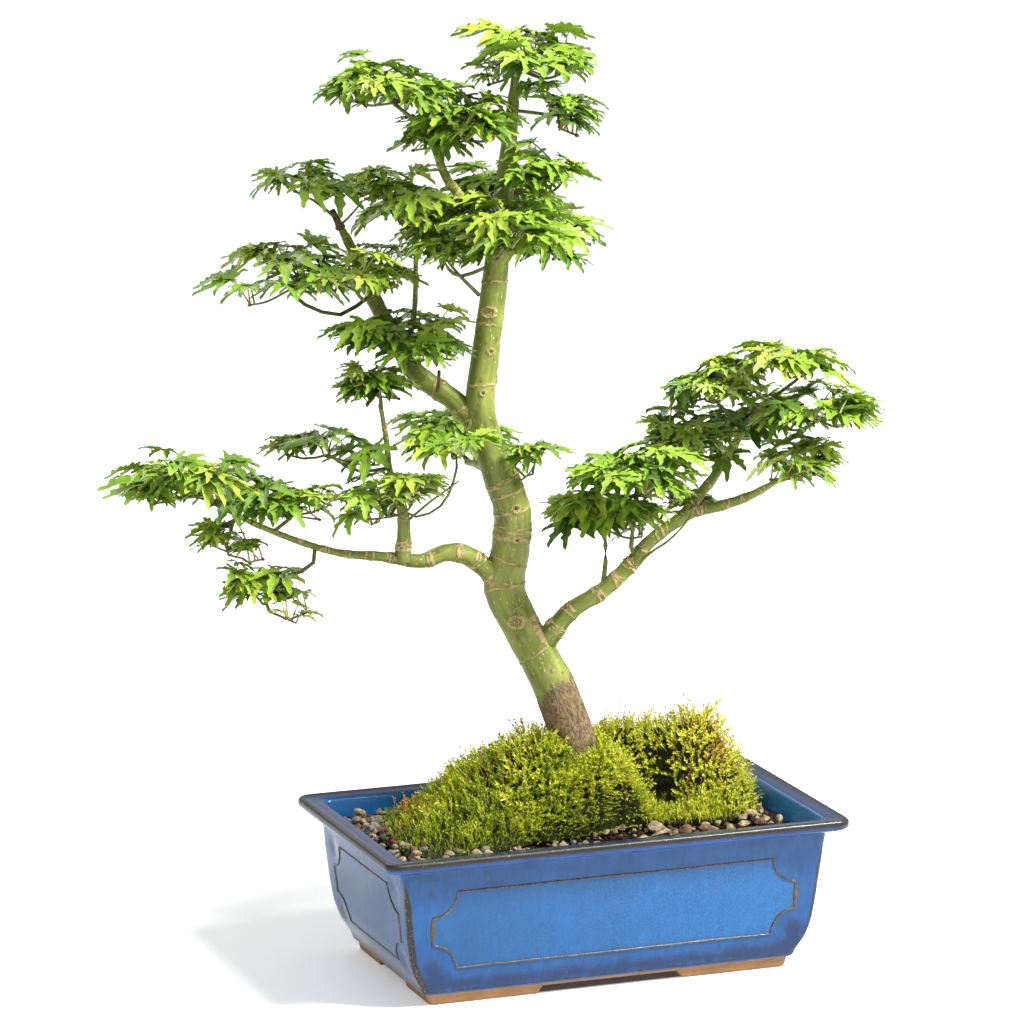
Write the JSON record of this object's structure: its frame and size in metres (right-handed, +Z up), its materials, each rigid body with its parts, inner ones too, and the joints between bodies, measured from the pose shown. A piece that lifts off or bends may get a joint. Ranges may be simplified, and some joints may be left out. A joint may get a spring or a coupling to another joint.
{
  "type": "potted japanese maple bonsai",
  "caption": "Leaning bonsai maple with flat tiers of lobed green leaves on a smooth olive trunk, in a moss-topped blue glazed rectangular pot.",
  "frame": {"origin": "on the surface that the pot stands on, under the middle of the whole plant's bounding box", "axes": "+Z up along the tree's height, X along the pot's long side, -Y towards the pot's front"},
  "size_m": [0.5558, 0.2848, 0.6993],
  "materials": {
    "glaze": "gloss",
    "soil": "matte",
    "gravel": "matte",
    "moss": "matte",
    "bark": "satin",
    "foliage": "satin"
  },
  "bodies": {
    "root": {"bough_back_high": "bark", "bough_back_low": "bark", "bough_crown_left": "bark", "bough_left_leader": "bark", "bough_low_left": "bark", "bough_low_right": "bark", "bough_mid_stem": "bark", "bough_right_riser": "bark", "bough_riser": "bark", "foliage_apex": "foliage", "foliage_apex_right": "foliage", "foliage_crown_back": "foliage", "foliage_crown_back_left": "foliage", "foliage_crown_back_right": "foliage", "foliage_crown_front": "foliage", "foliage_crown_inner": "foliage", "foliage_crown_left": "foliage", "foliage_crown_right": "foliage", "foliage_crown_upper": "foliage", "foliage_far_left": "foliage", "foliage_far_left_inner": "foliage", "foliage_hanging": "foliage", "foliage_hanging_small": "foliage", "foliage_left_inner": "foliage", "foliage_left_mid": "foliage", "foliage_left_tier": "foliage", "foliage_left_upper": "foliage", "foliage_low_back": "foliage", "foliage_right_centre": "foliage", "foliage_right_low": "foliage", "foliage_right_low_back": "foliage", "foliage_right_mid_left": "foliage", "foliage_right_shelf": "foliage", "foliage_right_tip": "foliage", "foliage_right_top": "foliage", "foliage_right_top_left": "foliage", "foliage_right_under": "foliage", "foliage_riser_left": "foliage", "foliage_riser_low": "foliage", "foliage_riser_top": "foliage", "foliage_sprig": "foliage", "foliage_top_left": "foliage", "foliage_trunk_front": "foliage", "gravel": "gravel", "moss": "moss", "pot": "glaze", "soil": "soil", "trunk": "bark"}
  },
  "joints": []
}
